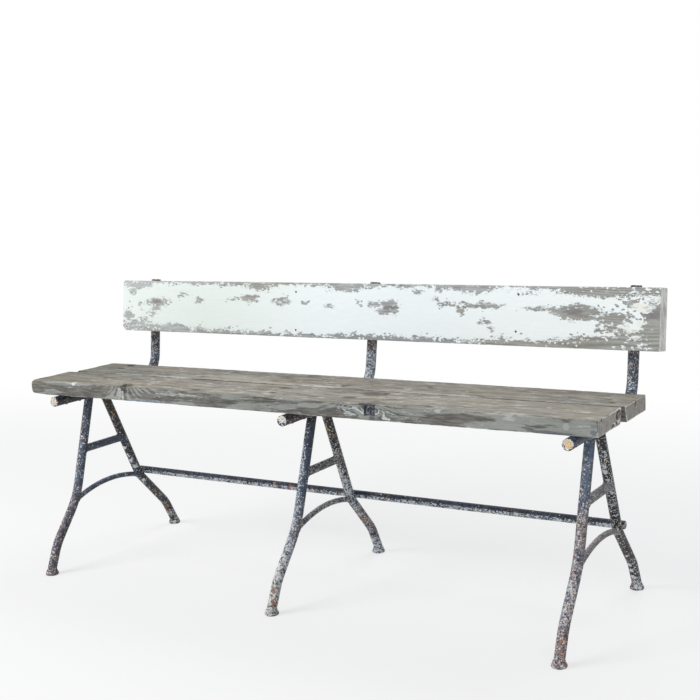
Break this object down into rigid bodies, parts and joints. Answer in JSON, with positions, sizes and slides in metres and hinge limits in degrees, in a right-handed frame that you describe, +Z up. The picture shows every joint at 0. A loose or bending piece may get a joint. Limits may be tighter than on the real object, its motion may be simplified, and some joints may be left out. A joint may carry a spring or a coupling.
{
  "type": "wagon seat bench",
  "caption": "Plank garden bench with a single back board, carried on bent round-bar iron trestles joined by a low stretcher rod.",
  "frame": {"origin": "centre of the bounding box on the floor: the middle of the length and of the feet's spread, at z = 0", "axes": "+X along the seat towards the sitter's left, -Y the way the sitter faces, +Z up"},
  "size_m": [1.53, 0.518, 0.7003],
  "materials": {
    "old_iron": "worn dark blue-grey paint with pale specks and rust pits",
    "weathered_wood": "bare grey-brown weathered timber, dry and rough",
    "chipped_painted_wood": "flaking white paint over grey bare timber",
    "dull_steel": "dull tarnished steel"
  },
  "bodies": {
    "root": {"left_back_bar": "old_iron", "left_front_leg": "old_iron", "left_rear_leg": "old_iron", "left_crossbar": "old_iron", "left_arch_brace": "old_iron", "left_front_foot": "old_iron", "left_rear_foot": "old_iron", "middle_back_bar": "old_iron", "middle_front_leg": "old_iron", "middle_rear_leg": "old_iron", "middle_crossbar": "old_iron", "middle_arch_brace": "old_iron", "middle_front_foot": "old_iron", "middle_rear_foot": "old_iron", "right_back_bar": "old_iron", "right_front_leg": "old_iron", "right_rear_leg": "old_iron", "right_crossbar": "old_iron", "right_arch_brace": "old_iron", "right_front_foot": "old_iron", "right_rear_foot": "old_iron", "stretcher_rod": "old_iron", "seat_front_plank": "weathered_wood", "seat_rear_plank": "weathered_wood", "back_board": "chipped_painted_wood", "seat_screws": "dull_steel", "board_screws": "dull_steel"}
  },
  "joints": []
}
